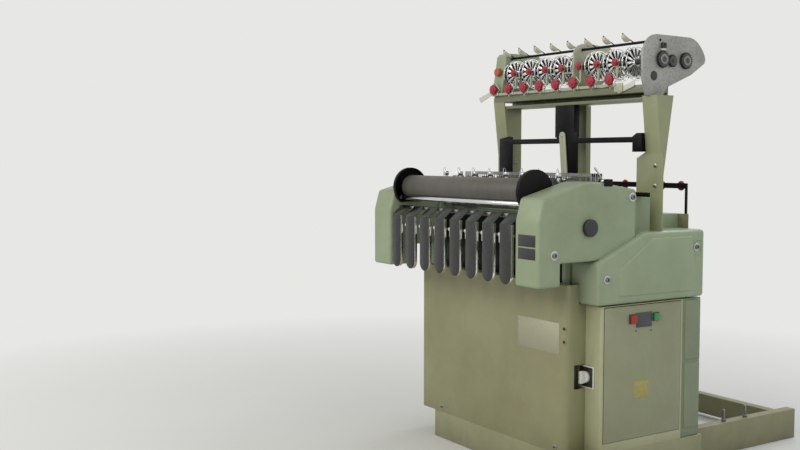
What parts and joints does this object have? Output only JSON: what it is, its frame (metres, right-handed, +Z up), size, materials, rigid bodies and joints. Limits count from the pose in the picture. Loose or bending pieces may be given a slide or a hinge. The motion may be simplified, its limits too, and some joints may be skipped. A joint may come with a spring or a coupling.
{
  "type": "power loom",
  "caption": "Narrow-fabric power loom for eight tapes, with a green cabinet, cast heads, a take-up roller, steel tape chutes and a warp feed unit on posts.",
  "frame": {"origin": "on the floor, under the plinth's front rim, midway between the two heads", "axes": "+X to the right seen from the front, +Y towards the back, +Z up"},
  "size_m": [1.268, 1.665, 1.88],
  "materials": {
    "green_paint": "satin sage-green enamel",
    "panel_paint": "satin beige-green enamel",
    "black_paint": "semi-gloss black",
    "pale_paint": "satin pale enamel",
    "bright_steel": "brushed",
    "dark_steel": "oiled",
    "chrome_plate": "polished",
    "cast_grey": "as cast",
    "motor_paint": "satin",
    "roller_cover": "fine grit",
    "belt_rubber": "matt",
    "red_plastic": "glossy",
    "orange_plastic": "glossy",
    "black_plastic": "glossy",
    "grey_plastic": "matt",
    "green_plastic": "glossy",
    "white_plastic": "glossy",
    "cream_plastic": "matt"
  },
  "bodies": {
    "loom": {"base_plinth": "green_paint", "rear_base_frame": "green_paint", "front_panel": "panel_paint", "rear_panel": "panel_paint", "left_side_cover": "green_paint", "machine_frame": "green_paint", "electrical_box": "panel_paint", "switch_plate": "black_plastic", "upper_side_cover": "green_paint", "rear_column_cover": "green_paint", "head_left": "green_paint", "head_right": "green_paint", "roller_guards": "black_paint", "tape_chutes": "bright_steel", "chute_rail": "bright_steel", "tape_clips": "white_plastic", "motor": "motor_paint", "drive_belt": "belt_rubber", "uprights": "green_paint", "top_beam": "green_paint", "thread_rail": "black_paint", "gear_plate": "cast_grey", "end_housing": "green_paint", "centre_plate": "pale_paint", "tension_knobs": "red_plastic", "upper_knobs": "red_plastic", "knob_bar": "pale_paint", "wire_frames": "chrome_plate", "guide_rod": "black_paint", "yarn_guides": "cream_plastic", "end_arms": "pale_paint", "fasteners": "chrome_plate", "rear_rails": "black_paint", "return_springs": "dark_steel", "tension_discs": "red_plastic"},
    "door": {"electrical_door": "panel_paint", "button_plate": "grey_plastic"},
    "stop_button": {"stop_button": "red_plastic"},
    "start_button": {"start_button": "green_plastic"},
    "switch_knob": {"switch_knob": "white_plastic"},
    "take_up_roller": {"roller_sleeve": "roller_cover", "roller_shaft": "dark_steel"},
    "nip_roller": {"nip_roller": "chrome_plate"},
    "main_shaft": {"main_shaft": "dark_steel", "shaft_pulley": "dark_steel"},
    "motor_pulley": {"motor_pulley": "dark_steel"},
    "sley": {"sley": "bright_steel", "reeds": "bright_steel"},
    "weft_bar": {"weft_needles": "chrome_plate"},
    "healds_odd": {"heald_frames_odd": "bright_steel"},
    "healds_even": {"heald_frames_even": "bright_steel"},
    "stop_lever": {"stop_lever": "pale_paint"},
    "feed_front": {"feed_shaft_front": "dark_steel", "feed_wheels_front": "chrome_plate"},
    "feed_idler": {"idler_gear": "dark_steel"},
    "feed_rear": {"feed_shaft_rear": "dark_steel", "feed_wheels_rear": "chrome_plate"},
    "end_knob": {"end_knob": "orange_plastic"},
    "head_knob": {"head_knob": "black_plastic"},
    "start_lever": {"start_lever": "chrome_plate"}
  },
  "joints": [
    {"name": "door_hinge", "type": "hinge", "parent": "loom", "child": "door", "pos_m": [0.612, 0.127, 0.45], "axis": [0, 0, -1], "range_deg": [0, 90]},
    {"name": "stop_press", "type": "slide", "parent": "door", "child": "stop_button", "axis": [-1, 0, 0], "range_m": [0, 0.004], "stiffness_N_per_m": 800, "springref_m": -0.001},
    {"name": "start_press", "type": "slide", "parent": "door", "child": "start_button", "axis": [-1, 0, 0], "range_m": [0, 0.004], "stiffness_N_per_m": 800, "springref_m": -0.001},
    {"name": "switch_turn", "type": "hinge", "parent": "loom", "child": "switch_knob", "pos_m": [0.537, 0.1, 0.448], "axis": [0, 1, 0], "range_deg": [0, 90]},
    {"name": "take_up_spin", "type": "hinge", "parent": "loom", "child": "take_up_roller", "pos_m": [0, -0.117, 1.21], "axis": [1, 0, 0], "continuous": true},
    {"name": "nip_spin", "type": "hinge", "parent": "loom", "child": "nip_roller", "pos_m": [0, -0.15962, 1.15921], "axis": [1, 0, 0], "continuous": true},
    {"name": "main_shaft_spin", "type": "hinge", "parent": "loom", "child": "main_shaft", "pos_m": [0, 0.33, 0.64], "axis": [1, 0, 0], "continuous": true},
    {"name": "motor_pulley_spin", "type": "hinge", "parent": "loom", "child": "motor_pulley", "pos_m": [-0.4, 0.33, 0.25], "axis": [1, 0, 0], "continuous": true},
    {"name": "sley_swing", "type": "hinge", "parent": "loom", "child": "sley", "pos_m": [0, 0.13, 1.125], "axis": [1, 0, 0], "range_deg": [-6, 6]},
    {"name": "weft_stroke", "type": "slide", "parent": "loom", "child": "weft_bar", "axis": [1, 0, 0], "range_m": [0, 0.025]},
    {"name": "shed_odd", "type": "slide", "parent": "loom", "child": "healds_odd", "axis": [0, 0, 1], "range_m": [-0.02, 0.02]},
    {"name": "shed_even", "type": "slide", "parent": "loom", "child": "healds_even", "axis": [0, 0, 1], "range_m": [-0.02, 0.02]},
    {"name": "stop_lever_swing", "type": "hinge", "parent": "loom", "child": "stop_lever", "pos_m": [0.025, 0.406, 1.446], "axis": [0, 1, 0], "range_deg": [-25, 25]},
    {"name": "feed_front_spin", "type": "hinge", "parent": "loom", "child": "feed_front", "pos_m": [0, 0.482, 1.76], "axis": [1, 0, 0], "continuous": true},
    {"name": "feed_idler_spin", "type": "hinge", "parent": "loom", "child": "feed_idler", "pos_m": [0.57, 0.53886, 1.75602], "axis": [1, 0, 0], "continuous": true},
    {"name": "feed_rear_spin", "type": "hinge", "parent": "loom", "child": "feed_rear", "pos_m": [0, 0.621, 1.76], "axis": [1, 0, 0], "continuous": true},
    {"name": "end_knob_turn", "type": "hinge", "parent": "loom", "child": "end_knob", "pos_m": [-0.462, 0.409, 1.772], "axis": [0, 1, 0], "range_deg": [-120, 120]},
    {"name": "head_knob_turn", "type": "hinge", "parent": "loom", "child": "head_knob", "pos_m": [0.615, 0.034, 1.068], "axis": [1, 0, 0], "range_deg": [-120, 120]},
    {"name": "start_lever_swing", "type": "hinge", "parent": "loom", "child": "start_lever", "pos_m": [0.585, 0.136, 1.252], "axis": [1, 0, 0], "range_deg": [-60, 15]}
  ],
  "couplings": [
    {"joint": "nip_spin", "follows": "take_up_spin", "ratio": -4.5},
    {"joint": "motor_pulley_spin", "follows": "main_shaft_spin", "ratio": 2.4444},
    {"joint": "feed_idler_spin", "follows": "feed_front_spin", "ratio": -1.375},
    {"joint": "shed_even", "follows": "shed_odd", "ratio": -1}
  ]
}
